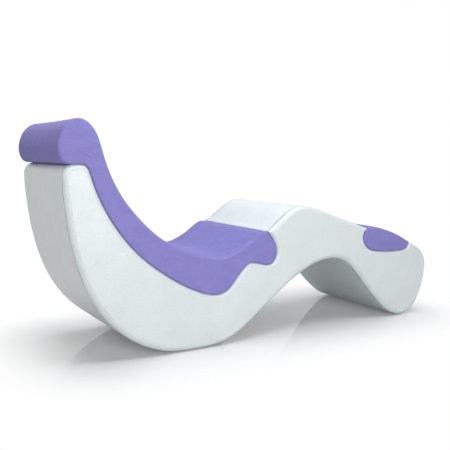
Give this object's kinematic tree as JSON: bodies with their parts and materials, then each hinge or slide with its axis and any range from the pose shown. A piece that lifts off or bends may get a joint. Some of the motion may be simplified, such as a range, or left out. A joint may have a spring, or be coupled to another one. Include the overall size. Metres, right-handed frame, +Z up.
{
  "type": "spa relaxation lounger",
  "caption": "S-shaped upholstered relaxation lounger: white side-wrapped shell with an arch under the knees, a full-width head-to-knee cushion with a head roll, and a foot cushion.",
  "frame": {"origin": "on the floor, in the middle of the length and width", "axes": "+X from the head end towards the feet, +Y towards the sitter's left hand, +Z up"},
  "size_m": [1.96, 0.6, 0.97],
  "materials": {
    "white_leatherette": "satin",
    "lilac_fabric": "matte",
    "plywood": "matte",
    "beech": "matte",
    "zinc_steel": "satin",
    "black_rubber": "matte",
    "hook_strip": "matte"
  },
  "bodies": {
    "shell": {"right_side_pad": "white_leatherette", "left_side_pad": "white_leatherette", "back_cover": "white_leatherette", "arch_cover": "white_leatherette", "toe_cover": "white_leatherette", "knee_cover": "white_leatherette", "main_cushion": "lilac_fabric", "foot_cushion": "lilac_fabric", "arch_rail": "beech", "arch_rail_screw_left": "zinc_steel", "arch_rail_screw_right": "zinc_steel", "arch_skin": "plywood", "back_rail": "beech", "back_rail_screw_left": "zinc_steel", "back_rail_screw_right": "zinc_steel", "back_skin": "plywood", "back_strip": "hook_strip", "belly_rail": "beech", "belly_rail_screw_left": "zinc_steel", "belly_rail_screw_right": "zinc_steel", "centre_frame": "plywood", "foot_deck": "plywood", "foot_rail": "beech", "foot_rail_screw_left": "zinc_steel", "foot_rail_screw_right": "zinc_steel", "foot_strip": "hook_strip", "front_left_foot_nut": "zinc_steel", "front_right_foot_nut": "zinc_steel", "head_rail": "beech", "head_rail_screw_left": "zinc_steel", "head_rail_screw_right": "zinc_steel", "knee_rail": "beech", "knee_rail_screw_left": "zinc_steel", "knee_rail_screw_right": "zinc_steel", "knee_skin": "plywood", "left_side_frame": "plywood", "rear_left_foot_nut": "zinc_steel", "rear_right_foot_nut": "zinc_steel", "right_side_frame": "plywood", "seat_deck": "plywood", "seat_rail": "beech", "seat_rail_screw_left": "zinc_steel", "seat_rail_screw_right": "zinc_steel", "seat_strip": "hook_strip", "toe_rail": "beech", "toe_rail_screw_left": "zinc_steel", "toe_rail_screw_right": "zinc_steel", "toe_skin": "plywood"},
    "rear_right_pad": {"rear_right_foot_pad": "black_rubber"},
    "rear_left_pad": {"rear_left_foot_pad": "black_rubber"},
    "front_right_pad": {"front_right_foot_pad": "black_rubber"},
    "front_left_pad": {"front_left_foot_pad": "black_rubber"},
    "rear_right_stem": {"rear_right_foot_stem": "zinc_steel"},
    "rear_left_stem": {"rear_left_foot_stem": "zinc_steel"},
    "front_right_stem": {"front_right_foot_stem": "zinc_steel"},
    "front_left_stem": {"front_left_foot_stem": "zinc_steel"}
  },
  "joints": [
    {"name": "rear_right_foot_lift", "type": "slide", "parent": "shell", "child": "rear_right_pad", "axis": [0, 0, 1], "range_m": [-0.01, 0]},
    {"name": "rear_right_foot_turn", "type": "hinge", "parent": "rear_right_pad", "child": "rear_right_stem", "pos_m": [-0.382, -0.2, 0.02], "axis": [0, 0, 1], "range_deg": [-2400, 0]},
    {"name": "rear_left_foot_lift", "type": "slide", "parent": "shell", "child": "rear_left_pad", "axis": [0, 0, 1], "range_m": [-0.01, 0]},
    {"name": "rear_left_foot_turn", "type": "hinge", "parent": "rear_left_pad", "child": "rear_left_stem", "pos_m": [-0.382, 0.2, 0.02], "axis": [0, 0, 1], "range_deg": [-2400, 0]},
    {"name": "front_right_foot_lift", "type": "slide", "parent": "shell", "child": "front_right_pad", "axis": [0, 0, 1], "range_m": [-0.01, 0]},
    {"name": "front_right_foot_turn", "type": "hinge", "parent": "front_right_pad", "child": "front_right_stem", "pos_m": [0.81791, -0.2, 0.02], "axis": [0, 0, 1], "range_deg": [-2400, 0]},
    {"name": "front_left_foot_lift", "type": "slide", "parent": "shell", "child": "front_left_pad", "axis": [0, 0, 1], "range_m": [-0.01, 0]},
    {"name": "front_left_foot_turn", "type": "hinge", "parent": "front_left_pad", "child": "front_left_stem", "pos_m": [0.81791, 0.2, 0.02], "axis": [0, 0, 1], "range_deg": [-2400, 0]}
  ],
  "couplings": [
    {"joint": "rear_right_foot_turn", "follows": "rear_right_foot_lift", "rad_per_m": 4188.8},
    {"joint": "rear_left_foot_turn", "follows": "rear_left_foot_lift", "rad_per_m": 4188.8},
    {"joint": "front_right_foot_turn", "follows": "front_right_foot_lift", "rad_per_m": 4188.8},
    {"joint": "front_left_foot_turn", "follows": "front_left_foot_lift", "rad_per_m": 4188.8}
  ]
}
